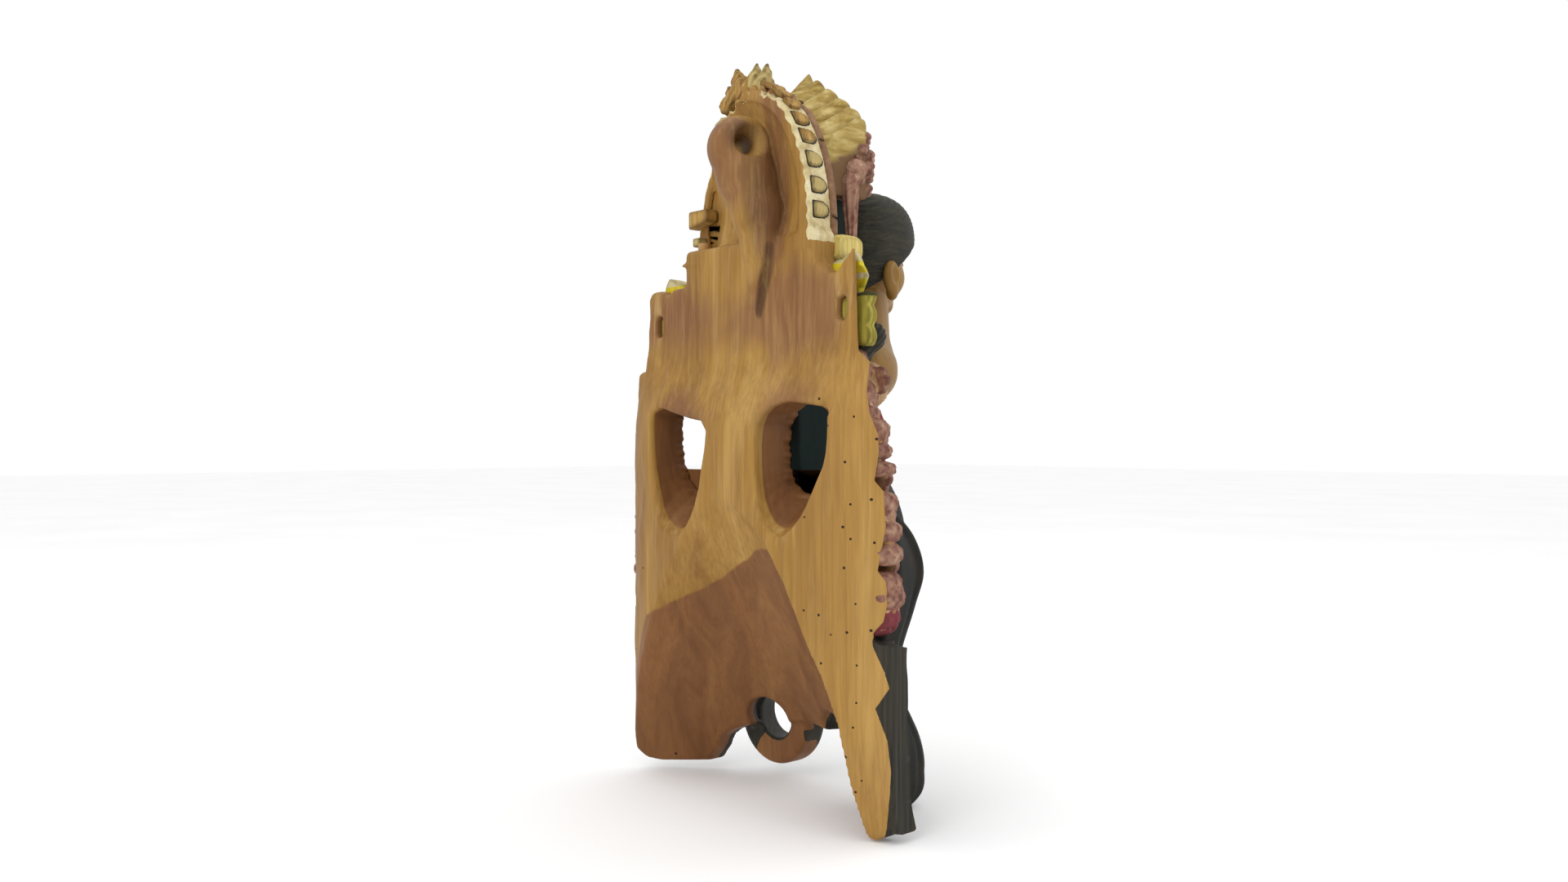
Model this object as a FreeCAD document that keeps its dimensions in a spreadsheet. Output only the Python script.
"""Carved and painted wooden crowned figure, as a parametric FreeCAD document in millimetres.

Frame: +Z up from the surface it stands on, the figure faces -Y, X across it, origin under the middle of its box.
The figure's own right side is at -X. Raw boards make the back, painted carvings are pegged and glued in front.
"""

import FreeCAD, Part

import math
import os

import Sketcher

DOC = FreeCAD.newDocument("carved_figure")

# Driving dimensions, in millimetres and degrees. Heights are above the surface that the figure stands on.
DIMENSIONS = {
    # back boards
    "panel_front": 46, "panel_back": 76, "board_back": 66, "edge_back": 63,
    "wing_half": 120, "wing_top": 283, "foot_inner": 104, "slope_start": 78, "hip_half": 80,
    "spine_half": 27, "spine_back": 81, "spine_top": 248, "arch_top": 166, "arch_hip": 97,
    "slot_low": 174, "slot_high": 250, "slot_outer": 88, "slot_mid": 52, "slot_hip": 201,
    "board_half": 104, "board_top": 339, "neck_half": 59, "neck_top": 355,
    "vent_x": 88, "vent_height": 313, "vent_radius": 4.5, "vent_straight": 6,
    # crown
    "crown_half": 62, "crown_base": 365, "crown_rise": 99, "crown_back": 65,
    "dish_half": 52, "dish_depth": 24, "dish_rise": 76, "dish_height": 372, "dish_y": 74,
    "ray_width": 9, "ray_depth": 13, "ray_length": 15, "ray_tip": 3, "stub_length": 2.5,
    "border_width": 5, "border_depth": 4,
    # keel with the hanging hole
    "keel_y": 50, "hole_height": 421.5, "hole_y": 67, "hole_radius": 6.3, "hole_turn": 26,
    "hole_back_reach": 60, "hole_front_reach": 33,
    # core, shell behind the hair and its scroll rings
    "core_half": 34, "core_low": 132, "core_top": 396,
    "shell_y": 79, "shell_low": 8, "shell_high": 170, "flank_x": 55,
    "hollow_radius": 95, "hollow_tip": 8, "shell_radius": 109, "shell_tip": 79,
    "ring_x": 38, "ring_height": 43, "ring_radius": 30, "ring_hole": 15, "ring_front": -30, "ring_back": 6,
    # head
    "head_y": -48, "head_height": 359, "head_half": 28, "head_depth": 33,
    "cap_half": 33, "cap_depth": 39, "cap_rise": 41, "hairline": 366, "face_reach": -62,
    "ear_height": 347, "ear_y": -40, "nose_length": 14,
    # bust
    "shoulder_half": 46, "shoulder_depth": 42, "bust_y": -30,
    "cloth_half": 38, "cloth_low": 186, "cloth_front": -64,
    # tiara
    "fan_half": 54, "fan_base": 396, "fan_rise": 81, "fan_back": 14, "fan_front": -7, "bloom_front": -20,
    "pendant_x": 47, "pendant_y": 12, "pendant_low": 346, "pendant_length": 48, "pendant_radius": 5,
    # flowers, leaves and hair locks
    "flower_front": 36, "bud_x": 84, "bud_radius": 11.5, "bud_height": 268,
    "petal_x": 52, "leaf_front": 39,
    "lock_inner": 51, "lock_outer": 60, "lock_width": 22, "left_lock_low": 66,
    "fringe_width": 27, "fringe_low": 60,
    "joint_gap": 0.3, "peg_radius": 4, "peg_length": 24,
}

SIDES = {"right": -1, "left": 1}


def dimensions_sheet():
    """The spreadsheet that holds every driving dimension under an alias."""
    sheet = DOC.addObject("Spreadsheet::Sheet", "Dims")
    for row, (alias, value) in enumerate(DIMENSIONS.items(), start=1):
        sheet.set(f"A{row}", alias)
        sheet.set(f"B{row}", str(value))
        sheet.setAlias(f"B{row}", alias)
    DOC.recompute()
    return sheet


class Dim:
    """A driving dimension or arithmetic on some: its number, and the sheet expression that it is bound by."""

    def __init__(self, value, text=None):
        self.value = float(value)
        self.text = text or f"{self.value:.4f}"

    def joined(self, sign, other, value):
        return Dim(value, f"({self.text} {sign} {other.text})")

    def __add__(self, other):
        other = as_dim(other)
        return self.joined("+", other, self.value + other.value)

    def __sub__(self, other):
        other = as_dim(other)
        return self.joined("-", other, self.value - other.value)

    def __mul__(self, other):
        other = as_dim(other)
        return self.joined("*", other, self.value * other.value)

    def __truediv__(self, other):
        other = as_dim(other)
        return self.joined("/", other, self.value / other.value)

    def __neg__(self):
        return self * -1

    def __radd__(self, other):
        return as_dim(other) + self

    def __rsub__(self, other):
        return as_dim(other) - self

    def __rmul__(self, other):
        return as_dim(other) * self


def as_dim(number):
    """A plain number as a Dim; a Dim stays as it is."""
    return number if isinstance(number, Dim) else Dim(number)


class Dimensions:
    """Every driving dimension as an attribute."""

    def __getattr__(self, alias):
        return Dim(DIMENSIONS[alias], f"Dims.{alias}")


d = Dimensions()


def bind(obj, **expressions):
    """Binds properties to expressions; x, y and z are the placement's position."""
    for prop, expression in expressions.items():
        path = f"Placement.Base.{prop}" if prop in ("x", "y", "z") else prop
        obj.setExpression(path, as_dim(expression).text)
    return obj


def closed_outline(body, plane, offset, stops):
    """A closed sketch whose corners are bound to the sheet. A stop is (u, v) or (u, v, (mid u, mid v)) for an arc."""
    sketch = body.newObject("Sketcher::SketchObject", "Outline")
    base = [f for f in body.Origin.OriginFeatures if f.Role == plane][0]
    sketch.AttachmentSupport = [(base, "")]
    sketch.MapMode = "FlatFace"
    bind(sketch, **{"AttachmentOffset.Base.z": offset})
    corners = [FreeCAD.Vector(as_dim(s[0]).value, as_dim(s[1]).value, 0) for s in stops]
    pieces = []
    for i, stop in enumerate(stops):
        start, end = corners[i], corners[(i + 1) % len(stops)]
        if len(stop) == 3:
            middle = FreeCAD.Vector(as_dim(stop[2][0]).value, as_dim(stop[2][1]).value, 0)
            anticlockwise = (middle - start).cross(end - start).z > 0
            curve = Part.Arc(start, middle, end) if anticlockwise else Part.Arc(end, middle, start)
            index = sketch.addGeometry(curve, False)
            ends = (1, 2) if anticlockwise else (2, 1)
            point = sketch.addGeometry(Part.Point(middle), True)
            sketch.addConstraint(Sketcher.Constraint("PointOnObject", point, 1, index))
            hold_point(sketch, point, 1, stop[2])
        else:
            index = sketch.addGeometry(Part.LineSegment(start, end), False)
            ends = (1, 2)
        pieces.append((index, ends))
    for i, (index, ends) in enumerate(pieces):
        after, after_ends = pieces[(i + 1) % len(pieces)]
        sketch.addConstraint(Sketcher.Constraint("Coincident", index, ends[1], after, after_ends[0]))
        hold_point(sketch, index, ends[0], stops[i][:2])
    return sketch


def hold_point(sketch, index, end, place):
    """Binds one sketch point's two coordinates to expressions."""
    for kind, expression in (("DistanceX", place[0]), ("DistanceY", place[1])):
        expression = as_dim(expression)
        number = sketch.addConstraint(Sketcher.Constraint(kind, -1, 1, index, end, expression.value))
        sketch.setExpression(f"Constraints[{number}]", expression.text)


def slab(name, plane, stops, start, length):
    """A body padded from an outline. On XZ it runs from y = start towards -Y, on YZ from x = start towards +X."""
    body = DOC.addObject("PartDesign::Body", name)
    offset = -start if plane == "XZ_Plane" else start
    sketch = closed_outline(body, plane, offset, stops)
    pad = body.newObject("PartDesign::Pad", "Slab")
    pad.Profile = sketch
    bind(pad, Length=length)
    return body


def pocket(body, plane, stops, start, length, forward):
    """Cuts an outline out of a body. forward says that the cut runs along the plane's normal."""
    offset = -start if plane == "XZ_Plane" else start
    sketch = closed_outline(body, plane, offset, stops)
    DOC.recompute()
    before = body.Shape.Volume
    cut = body.newObject("PartDesign::Pocket", "Cut")
    cut.Profile = sketch
    bind(cut, Length=length)
    cut.Reversed = forward
    DOC.recompute()
    if body.Shape.Volume >= before:
        raise RuntimeError(f"{body.Name}: the pocket cuts nothing")
    return body


def ellipsoid(name, radii, centre):
    """An ellipsoid with radii along X, Y and Z."""
    ball = DOC.addObject("Part::Ellipsoid", name)
    bind(ball, Radius2=radii[0], Radius3=radii[1], Radius1=radii[2], x=centre[0], y=centre[1], z=centre[2])
    ball.Angle1, ball.Angle2, ball.Angle3 = -90, 90, 360
    return ball


def oval_stack(name, ovals):
    """A rounded solid lofted through level ovals, each as (height, half width, half depth, x, y)."""
    deep = all(as_dim(half_depth).value >= as_dim(half_width).value for _, half_width, half_depth, _, _ in ovals)
    rims = []
    for height, half_width, half_depth, x, y in ovals:
        rim = DOC.addObject("Part::Ellipse", f"{name}_oval")
        major, minor = (half_depth, half_width) if deep else (half_width, half_depth)
        bind(rim, MajorRadius=major, MinorRadius=minor, x=x, y=y, z=height)
        rim.Placement.Rotation = FreeCAD.Rotation(90 if deep else 0, 0, 0)
        rims.append(rim)
    loft = DOC.addObject("Part::Loft", name)
    loft.Sections, loft.Solid, loft.Ruled = rims, True, False
    return loft


def egg(name, radii, centre):
    """A rounded solid like an ellipsoid, with radii along X, Y and Z and small flat ends."""
    ovals = []
    for turn in (-75, -50, -25, 0, 25, 50, 75):
        across, up = math.cos(math.radians(turn)), math.sin(math.radians(turn))
        ovals.append((centre[2] + radii[2] * up, radii[0] * across, radii[1] * across, centre[0], centre[1]))
    return oval_stack(name, ovals)


def block(name, size, corner):
    """A box with its lowest corner at a point."""
    box = DOC.addObject("Part::Box", name)
    return bind(box, Length=size[0], Width=size[1], Height=size[2], x=corner[0], y=corner[1], z=corner[2])


def rod(name, radius, height, base, axis=(0, 0, 1)):
    """A cylinder from a base point along an axis."""
    pin = DOC.addObject("Part::Cylinder", name)
    bind(pin, Radius=radius, Height=height, x=base[0], y=base[1], z=base[2])
    pin.Placement.Rotation = FreeCAD.Rotation(FreeCAD.Vector(0, 0, 1), FreeCAD.Vector(*axis))
    return pin


def cone(name, low, high, height, base, axis=(0, 0, 1)):
    """A cone frustum from a base point along an axis."""
    horn = DOC.addObject("Part::Cone", name)
    bind(horn, Radius1=low, Radius2=high, Height=height, x=base[0], y=base[1], z=base[2])
    horn.Placement.Rotation = FreeCAD.Rotation(FreeCAD.Vector(0, 0, 1), FreeCAD.Vector(*axis))
    return horn


def cut(name, base, *tools):
    """base with every tool taken away."""
    result = base
    for i, tool in enumerate(tools):
        last = i == len(tools) - 1
        step = DOC.addObject("Part::Cut", name if last else f"{name}_step")
        step.Base, step.Tool = result, tool
        result = step
    return result


def common(name, base, tool):
    """What two shapes share."""
    step = DOC.addObject("Part::Common", name)
    step.Base, step.Tool = base, tool
    return step


def fuse(name, *shapes):
    """One shape from several that overlap."""
    step = DOC.addObject("Part::MultiFuse", name)
    step.Shapes = list(shapes)
    return step


def group(name, shapes):
    """Separate solids that share a node."""
    step = DOC.addObject("Part::Compound", name)
    step.Links = list(shapes)
    return step


def mirrored(stops):
    """A closed outline from its half at x >= 0, listed from the bottom up."""
    half = [(s[0], s[1], s[2]) if len(s) == 3 else (s[0], s[1]) for s in stops]
    back = []
    for i in range(len(half) - 1, -1, -1):
        u, v = -half[i][0], half[i][1]
        arc = half[i - 1][2] if i > 0 and len(half[i - 1]) == 3 else None
        back.append((u, v, (-arc[0], arc[1])) if arc else (u, v))
    return half + back


def ellipse_slab(name, half, rise, centre_height, back, front, above):
    """A plate with a half-elliptical outline, upright in the XZ plane, kept above a height."""
    rim = DOC.addObject("Part::Ellipse", f"{name}_rim")
    bind(rim, MajorRadius=rise, MinorRadius=half, y=back, z=centre_height)
    upright = FreeCAD.Rotation(FreeCAD.Vector(0, 0, 1), FreeCAD.Vector(-1, 0, 0), FreeCAD.Vector(0, 1, 0), "ZXY")
    rim.Placement.Rotation = upright
    plate = DOC.addObject("Part::Extrusion", f"{name}_plate")
    plate.Base = rim
    plate.DirMode, plate.Dir, plate.Solid = "Custom", FreeCAD.Vector(0, -1, 0), True
    bind(plate, LengthFwd=back - front)
    keep = block(f"{name}_keep", (4 * half, 400, 4 * rise), (-2 * half, -200, above))
    return common(name, plate, keep)


def rim_placement(turn):
    """Where a ray stands on the crown's elliptical rim, turn degrees up from +X, and its outward direction."""
    half, rise = DIMENSIONS["crown_half"], DIMENSIONS["crown_rise"]
    a = math.radians(turn)
    outward = FreeCAD.Vector(math.cos(a) / half, 0, math.sin(a) / rise).normalize()
    return math.cos(a), math.sin(a), outward


def ray(name, turn, length):
    """One carved petal of the crown's sunburst, tapering outward from the rim."""
    across, up, outward = rim_placement(turn)
    petal = DOC.addObject("Part::Wedge", name)
    half_width, half_depth = d.ray_width / 2, d.ray_depth / 2
    tip = d.ray_tip / 2
    taper = half_width - (half_width - tip) * length / d.ray_length
    bind(petal, Xmin=-half_width, Xmax=half_width, Zmin=-half_depth, Zmax=half_depth,
         X2min=-taper, X2max=taper, Z2min=-half_depth * 0.6, Z2max=half_depth * 0.6)
    petal.Ymin = 0
    bind(petal, Ymax=length)
    bind(petal, x=across * d.crown_half, z=d.crown_base + up * d.crown_rise,
         y=(d.panel_front + d.crown_back) / 2)
    sideways = FreeCAD.Vector(outward.z, 0, -outward.x)
    petal.Placement.Rotation = FreeCAD.Rotation(sideways, outward, FreeCAD.Vector(0, 1, 0), "YXZ")
    return petal


def blossom(name, radius, place, front, back):
    """A carved flower, a flared disc that opens towards the front."""
    depth = back - front
    return cone(name, 0.45 * radius, radius, depth, (place[0], back, place[1]), (0, -1, 0))


def back_boards(nodes):
    """The raw boards behind: a spine, two wings with the slots beside it, and the shoulder board above."""
    for side, s in SIDES.items():
        wing = slab(f"{side}_wing", "XZ_Plane", [
            (s * d.foot_inner, 0),
            (s * d.wing_half, 0),
            (s * d.wing_half, d.wing_top - 8, (s * (d.wing_half - 2.3), d.wing_top - 2.3)),
            (s * (d.wing_half - 8), d.wing_top),
            (s * 100, d.wing_top),
            (s * d.slot_outer, d.slot_high, (s * 84.5, 222)),
            (s * d.hip_half, d.slot_hip),
            (s * d.hip_half, d.arch_hip, (s * 94, 48)),
        ], d.panel_back, d.panel_back - d.panel_front)
        pocket(wing, "XY_Plane", [
            (s * d.slope_start, d.panel_back),
            (s * (d.wing_half + 2), d.panel_back),
            (s * (d.wing_half + 2), d.edge_back),
            (s * d.wing_half, d.edge_back),
        ], -5, d.wing_top + 10, True)
        nodes[f"{side}_wing"] = wing

        nodes[f"{side}_hip"] = slab(f"{side}_hip", "XZ_Plane", [
            (s * d.hip_half, d.arch_hip),
            (s * d.hip_half, d.slot_hip, (s * 70, 184)),
            (s * d.slot_mid, d.slot_low, (s * 37, d.slot_low + 4)),
            (s * d.spine_half, d.slot_low + 18),
            (s * d.spine_half, d.arch_top, (s * 56, 134)),
        ], d.panel_back, d.panel_back - d.panel_front)

    spine = slab("spine_block", "XZ_Plane", mirrored([
        (d.spine_half - 9, d.arch_top - 16),
        (d.spine_half, d.arch_top),
        (d.spine_half, d.spine_top),
    ]), d.spine_back, d.spine_back - d.panel_front)
    nodes["spine_block"] = spine

    board = slab("shoulder_board", "XZ_Plane", mirrored([
        (d.spine_half, d.spine_top, (58, 244)),
        (d.slot_outer, d.slot_high),
        (100, d.wing_top),
        (d.board_half, 291),
        (d.board_half, d.board_top - 10),
        (d.board_half - 7, d.board_top),
        (66, 334),
        (d.neck_half, 342),
        (d.neck_half, d.neck_top),
    ]), d.board_back, d.board_back - d.panel_front)
    for s in SIDES.values():
        low, high = d.vent_height - d.vent_straight / 2, d.vent_height + d.vent_straight / 2
        near, far = s * d.vent_x - d.vent_radius, s * d.vent_x + d.vent_radius
        pocket(board, "XZ_Plane", [
            (near, low, (s * d.vent_x, low - d.vent_radius)),
            (far, low),
            (far, high, (s * d.vent_x, high + d.vent_radius)),
            (near, high),
        ], d.board_back, 60, True)
    nodes["shoulder_board"] = board


def crown(nodes):
    """The crown board with its dished back, the sunburst rays on its rim and the thin border before it."""
    plate = ellipse_slab("crown_blank", d.crown_half, d.crown_rise, d.crown_base,
                         d.crown_back, d.panel_front, d.neck_top)
    dish = ellipsoid("crown_dish", (d.dish_half, d.dish_depth, d.dish_rise),
                     (0, d.dish_y, d.dish_height))
    nodes["crown_board"] = cut("crown_board", plate, dish)

    whole = [95, 86, 77, 69, 61, 10]
    broken = [7, 16, 24, 32, 41, 51, 62, 74]
    reach = d.ray_length
    nodes["crown_rays"] = group("crown_rays", [
        cut(f"ray_{turn}", ray(f"ray_blank_{turn}", turn, reach), nodes["crown_board"]) for turn in whole])
    stubs = [180 - turn for turn in broken] + [20, 30, 41, 52]
    nodes["crown_ray_stubs"] = group("crown_ray_stubs", [
        cut(f"stub_{turn}", ray(f"stub_blank_{turn}", turn, d.stub_length), nodes["crown_board"])
        for turn in stubs])

    outer = ellipse_slab("border_outer", d.crown_half, d.crown_rise, d.crown_base,
                         d.panel_front, d.panel_front - d.border_depth, d.neck_top)
    inner = ellipse_slab("border_inner", (d.crown_half - d.border_width),
                         (d.crown_rise - d.border_width), d.crown_base,
                         (d.panel_front + 1), d.panel_front - d.border_depth - 1,
                         (d.neck_top - 1))
    nodes["crown_border"] = cut("crown_border", outer, inner)


def keel(nodes):
    """The drop-shaped keel behind the crown, with the cross hole that a hanging cord goes through."""
    drop = oval_stack("keel_drop", [(height, half_width, half_depth, 0, d.keel_y + y) for
                                    height, half_width, half_depth, y in [
        (318, 3, 2, 16), (345, 12, 9, 15), (368, 19, 15, 13), (400, 24, 19, 15),
        (425, 25, 19.5, 17), (440, 20, 17, 16), (449, 10, 9, 15)]])
    before = block("keel_before", (200, 60, 400), (-100, d.panel_front - 60, 100))
    turn = math.radians(DIMENSIONS["hole_turn"])
    along = FreeCAD.Vector(-math.cos(turn), math.sin(turn), 0)
    hole = rod("hang_hole_tool", d.hole_radius, d.hole_front_reach + d.hole_back_reach,
               (-along.x * d.hole_front_reach, d.hole_y - along.y * d.hole_front_reach, d.hole_height),
               tuple(along))
    nodes["crown_board"] = cut("crown_board_scooped", nodes["crown_board"], hole)
    nodes["keel_lug"] = cut("keel_lug", drop, nodes["crown_board"], nodes["shoulder_board"], before, hole)


def core_and_shell(nodes):
    """The core block behind the head and bust, the hollowed shell behind the hair, and its two scroll rings."""
    core = block("core_blank", (2 * d.core_half, d.panel_front, d.core_top - d.core_low),
                 (-d.core_half, 0, d.core_low))
    nodes["core_block"] = cut("core_block", core, nodes["crown_border"])

    outside = cone("shell_outside", d.shell_radius, d.shell_tip, d.shell_high, (0, d.shell_y, 0))
    hollow = cone("shell_hollow", d.hollow_radius, d.hollow_tip, d.shell_high, (0, d.shell_y, 0))
    ring_gaps = []
    for side, s in SIDES.items():
        centre = (s * d.ring_x, d.ring_back, d.ring_height)
        depth = d.ring_back - d.ring_front
        disc = rod(f"{side}_ring_disc", d.ring_radius, depth, centre, (0, -1, 0))
        hole = rod(f"{side}_ring_hole", d.ring_hole, depth, centre, (0, -1, 0))
        nodes[f"{side}_curl_ring"] = cut(f"{side}_curl_ring", disc, hole, hollow)
        ring_gaps.append(rod(f"{side}_ring_gap", d.ring_radius + d.joint_gap, 120,
                             (s * d.ring_x, 40, d.ring_height), (0, -1, 0)))

    thirds = {
        "front_shell": (-d.flank_x, 2 * d.flank_x, d.ring_height),
        "right_flank": (-d.wing_half, d.wing_half - d.flank_x, d.shell_low),
        "left_flank": (d.flank_x, d.wing_half - d.flank_x, d.shell_low),
    }
    for name, (start, width, low) in thirds.items():
        part = block(f"{name}_part", (width, d.panel_front + 60, d.shell_high - low), (start, -60, low))
        blank = common(f"{name}_blank", outside, part)
        nodes[name] = cut(name, blank, hollow, nodes["core_block"], *ring_gaps)


def head_and_bust(nodes):
    """A plain head with a hair cap and ears, on bare shoulders above a wrapped breast cloth."""
    skull = oval_stack("skull", [(height, half_width, half_depth, 0, d.head_y + y) for
                                 height, half_width, half_depth, y in [
        (324, 9, 11, -14), (330, 16, 22, -8), (345, 24, 29, -4), (362, d.head_half, d.head_depth, 0),
        (378, 26, 31, 0), (390, 18, 22, 0), (395, 8, 10, 0)]])
    nose = cone("nose", 4.5, 1.5, d.nose_length,
                (0, d.head_y - d.head_depth + 2, d.head_height - d.nose_length), (0, 0.16, 1))
    nodes["head"] = cut("head", fuse("head_blank", skull, nose), nodes["core_block"])

    cap = egg("cap_blank", (d.cap_half, d.cap_depth, d.cap_rise), (0, d.head_y, d.head_height))
    face = block("face_opening", (100, 100, 100), (-50, d.face_reach - 100, d.hairline - 100))
    below = block("cap_below", (100, 100, 100), (-50, -100, 330 - 100))
    nodes["hair_cap"] = cut("hair_cap", cap, skull, face, below, nodes["core_block"])

    for side, s in SIDES.items():
        ear = egg(f"{side}_ear_blank", (6, 7, 12), (s * (d.head_half + 6), d.ear_y, d.ear_height))
        nodes[f"{side}_ear"] = cut(f"{side}_ear", ear, nodes["hair_cap"], skull, nodes["core_block"])

    shoulders = oval_stack("shoulders_blank", [(height, half_width, half_depth, 0, d.bust_y + y) for
                                               height, half_width, half_depth, y in [
        (262, 44, 36, 4), (285, d.shoulder_half, d.shoulder_depth, 0), (302, 38, 33, 4),
        (312, 22, 20, 2), (326, 16, 15, -6), (338, 15, 14, -10)]])
    nodes["neck_and_shoulders"] = cut("neck_and_shoulders", shoulders, skull, nodes["core_block"])

    cloth = slab("cloth_blank", "YZ_Plane", [
        (0, d.cloth_low),
        (d.cloth_front + 14, d.cloth_low, (d.cloth_front, 226)),
        (-56, 262),
        (0, 262),
    ], -d.cloth_half, 2 * d.cloth_half)
    nodes["breast_cloth"] = cut("breast_cloth", cloth, nodes["core_block"])


def tiara(nodes):
    """The ribbed fan in front of the crown, the blossoms on it and the two hanging pendants."""
    fan = ellipse_slab("fan_blank", d.fan_half, d.fan_rise, d.fan_base,
                       d.fan_back, d.fan_front, d.fan_base)
    nodes["tiara_fan"] = cut("tiara_fan", fan, nodes["core_block"])
    blooms = [blossom("tiara_bloom_middle", 17, (0, 421), d.bloom_front, d.fan_front)]
    for s in SIDES.values():
        blooms.append(blossom("tiara_bloom_side", 13, (s * 31, 415), d.bloom_front, d.fan_front))
        blooms.append(blossom("tiara_bloom_edge", 8, (s * 47, 401), d.bloom_front, d.fan_front))
    nodes["tiara_blossoms"] = group("tiara_blossoms", blooms)
    for side, s in SIDES.items():
        top = (s * d.pendant_x, d.pendant_y, d.pendant_low + d.pendant_length)
        drop = cone(f"{side}_pendant", d.pendant_radius, 2, d.pendant_length, top, (0, 0, -1))
        nodes[f"{side}_pendant"] = drop


def flowers_and_leaves(nodes):
    """Painted flowers and leaves on the front of the boards."""
    for side, s in SIDES.items():
        stem = [(101, 268, 18), (108, 237, 12), (109, 212, 11), (109, 188, 11),
                (107, 162, 13), (104, 131, 16)]
        blooms = [blossom(f"{side}_bloom_{i}", radius, (s * x, height), d.flower_front,
                          d.panel_front) for i, (x, height, radius) in enumerate(stem)]
        nodes[f"{side}_garland"] = group(f"{side}_garland", blooms)
        bud = egg(f"{side}_bud_blank", (d.bud_radius, d.bud_radius, d.bud_radius * 1.15),
                  (s * d.bud_x, d.flower_front - 6, d.bud_height))
        nodes[f"{side}_bud"] = cut(f"{side}_bud", bud, nodes[f"{side}_garland"], nodes["shoulder_board"])
        nodes[f"{side}_frangipani"] = blossom(f"{side}_frangipani", 14, (s * 84, 340),
                                              d.flower_front, d.panel_front)
        nodes[f"{side}_leaf"] = slab(f"{side}_leaf", "XZ_Plane", [
            (s * 92, 290, (s * 79, 303)),
            (s * 84, 324),
            (s * 100, 324, (s * 104, 304)),
        ], d.panel_front, d.panel_front - d.leaf_front)
        nodes[f"{side}_rim_petal"] = slab(f"{side}_rim_petal", "XZ_Plane", [
            (s * d.petal_x, 345),
            (s * (d.petal_x + 13), 345, (s * (d.petal_x + 17), 354)),
            (s * (d.petal_x + 13), 363),
            (s * d.petal_x, 363),
        ], d.panel_front - d.border_depth, 14)


def hair_locks(nodes):
    """Long wavy locks down the front and short locks beside the neck.

    The right outer lock reaches the ground; the left one is broken off level with the top of the scroll ring.
    """
    gap = d.joint_gap
    blockers = [nodes[name] for name in ("front_shell", "right_flank", "left_flank", "core_block",
                                         "right_curl_ring", "left_curl_ring")]
    for side, s in SIDES.items():
        start = d.lock_outer if s > 0 else -(d.lock_outer + d.lock_width)
        outer = slab(f"{side}_outer_blank", "YZ_Plane", [
            (-8, 0),
            (-17, 0, (-27, 22)),
            (-14, 58, (-8, 82)),
            (-18, 112, (-29, 148)),
            (-10, 196),
            (12, 212),
            (20, 196, (-3, 148)),
            (8, 108, (15, 82)),
            (6, 56, (-2, 30)),
        ], start, d.lock_width)
        broken = [block("left_lock_lost", (2 * d.lock_width, 100, d.left_lock_low), (start, -60, 0))] if s > 0 else []
        nodes[f"{side}_outer_lock"] = cut(f"{side}_outer_lock", outer, *blockers, *broken)

        start = d.lock_inner - gap - d.fringe_width if s > 0 else -(d.lock_inner - gap)
        inner = slab(f"{side}_inner_blank", "YZ_Plane", [
            (-16, 78),
            (-34, 80, (-35, 98)),
            (-42, 118, (-52, 158)),
            (-38, 206),
            (-12, 222),
            (0, 206),
            (0, 150),
            (-6, 110),
        ], start, d.fringe_width)
        nodes[f"{side}_inner_lock"] = cut(f"{side}_inner_lock", inner, *blockers, nodes["breast_cloth"])

        foot = slab(f"{side}_wing_lock", "XZ_Plane", [
            (s * d.foot_inner, 0),
            (s * d.wing_half, 0),
            (s * d.wing_half, 78, (s * 115.5, 97)),
            (s * 107, 110, (s * 92, 92)),
            (s * 98, 60),
        ], d.panel_front, d.panel_front - d.flower_front)
        nodes[f"{side}_wing_lock"] = cut(f"{side}_wing_lock", foot, nodes[f"{side}_garland"],
                                         nodes[f"{side}_flank"])

        curl = egg(f"{side}_neck_blank", (8, 12, 22), (s * 44, -8, 303))
        nodes[f"{side}_neck_lock"] = cut(f"{side}_neck_lock", curl, nodes["neck_and_shoulders"],
                                         nodes["core_block"])

    middle = slab("centre_blank", "YZ_Plane", [
        (-24, d.fringe_low),
        (-40, d.fringe_low, (-43, 90)),
        (-47, 120, (-53, 150)),
        (-44, d.cloth_low),
        (0, d.cloth_low),
        (0, 150),
        (-8, 100),
    ], -(d.lock_inner - 2 * gap - d.fringe_width),
        2 * (d.lock_inner - 2 * gap - d.fringe_width))
    nodes["centre_locks"] = cut("centre_locks", middle, *blockers)


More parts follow.
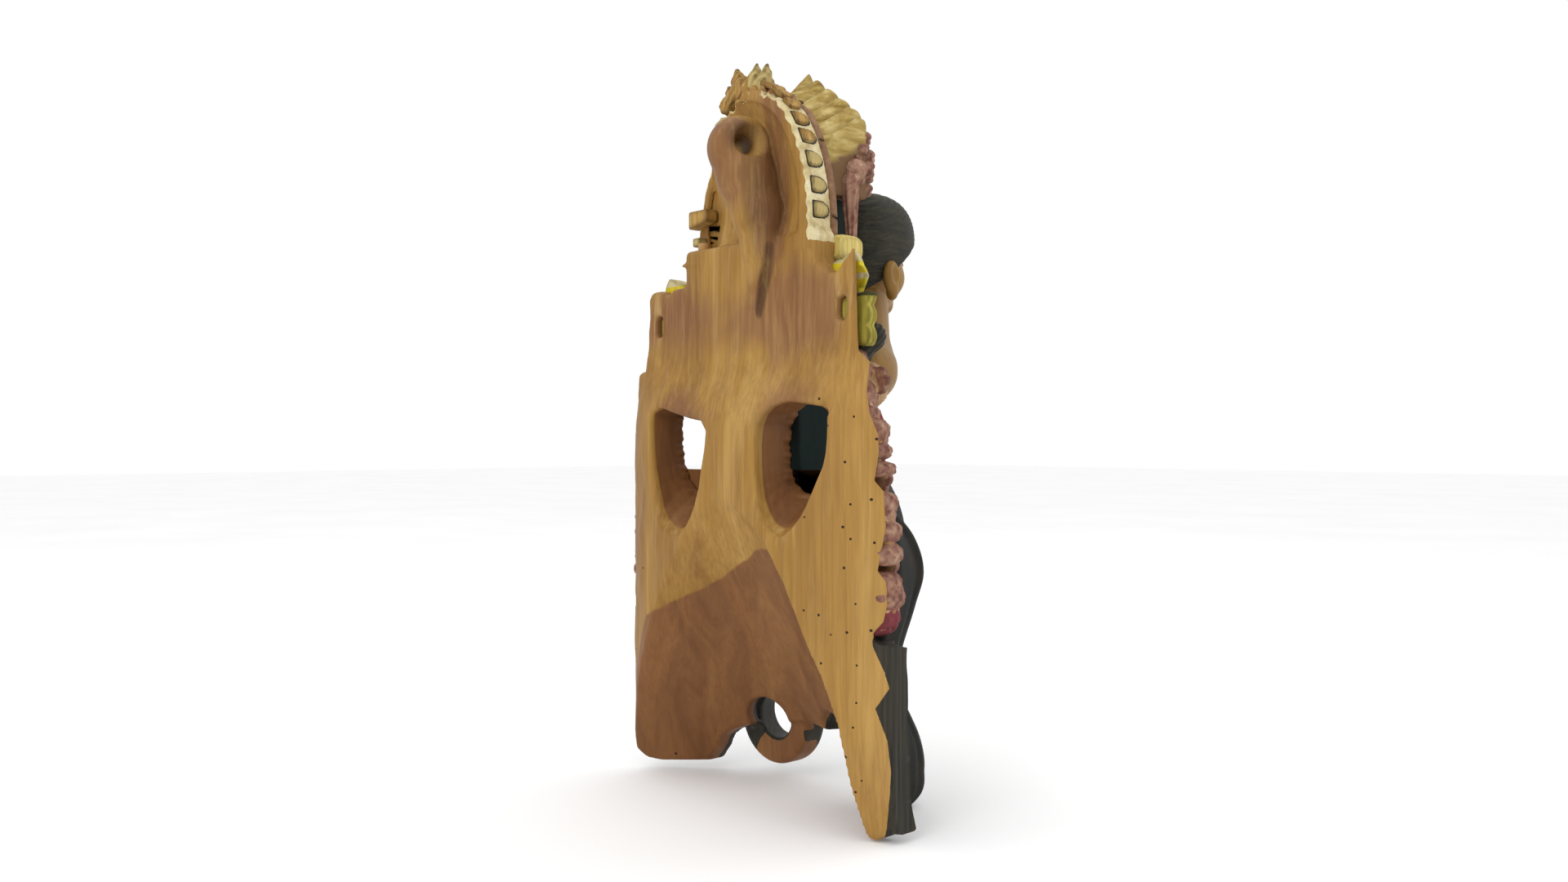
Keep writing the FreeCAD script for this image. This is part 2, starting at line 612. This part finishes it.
def pegs(nodes):
    """Wooden pegs across the glued joints, each in a hole of its own in both pieces."""
    half = d.peg_length / 2
    joints = {
        "crown_pegs": (["shoulder_board", "crown_board"], (0, 0, 1),
                       [(s * 48, 56, d.neck_top - half) for s in SIDES.values()]),
        "spine_pegs": (["spine_block", "core_block"], (0, -1, 0),
                       [(0, d.panel_front + half, height) for height in (175, 230)]),
        "board_pegs": (["shoulder_board", "core_block"], (0, -1, 0),
                       [(s * 18, d.panel_front + half, 275) for s in SIDES.values()]),
        "head_peg": (["head", "core_block"], (0, -1, 0), [(0, half, 368)]),
        "bust_peg": (["neck_and_shoulders", "core_block"], (0, -1, 0), [(0, half, 288)]),
        "hip_pegs": (["right_hip", "left_hip", "spine_block"], (1, 0, 0),
                     [(s * d.spine_half - half, 60, 172) for s in SIDES.values()]),
        "wing_pegs": (["right_hip", "right_wing", "left_hip", "left_wing"], (1, 0, 0),
                      [(s * d.hip_half - half, 60, 130) for s in SIDES.values()]),
        "flank_pegs": (["right_flank", "right_wing", "left_flank", "left_wing"], (0, -1, 0),
                       [(s * 95, d.panel_front + half, 62) for s in SIDES.values()]),
    }
    for name, (homes, axis, bases) in joints.items():
        made = [rod(f"{name}_{i}", d.peg_radius, d.peg_length, base, axis) for i, base in enumerate(bases)]
        nodes[name] = group(name, made) if len(made) > 1 else made[0]
        for home in homes:
            nodes[home] = cut(f"{home}_bored", nodes[home], nodes[name])


def save(nodes):
    """Checks every object and writes each node's solids to its own file."""
    DOC.recompute()
    bad = [o.Name for o in DOC.Objects if "Invalid" in o.State or "Error" in o.State]
    if bad:
        raise RuntimeError(f"failed objects: {bad}")
    os.makedirs("parts", exist_ok=True)
    for old in os.listdir("parts"):
        os.remove(os.path.join("parts", old))
    for name, obj in nodes.items():
        obj.Label = name
        shape = obj.Shape
        if shape.isNull() or not shape.isValid() or not shape.Solids or shape.Volume <= 0:
            raise RuntimeError(f"{name}: no valid solid")
        shape.exportStep(f"parts/{name}.step")
        box = shape.BoundBox
        print(f"{name:20s} solids {len(shape.Solids):2d}  x {box.XMin:7.1f} {box.XMax:7.1f}"
              f"  y {box.YMin:7.1f} {box.YMax:7.1f}  z {box.ZMin:6.1f} {box.ZMax:6.1f}")


def main():
    dimensions_sheet()
    nodes = {}
    back_boards(nodes)
    crown(nodes)
    keel(nodes)
    core_and_shell(nodes)
    head_and_bust(nodes)
    tiara(nodes)
    flowers_and_leaves(nodes)
    hair_locks(nodes)
    pegs(nodes)
    save(nodes)


main()
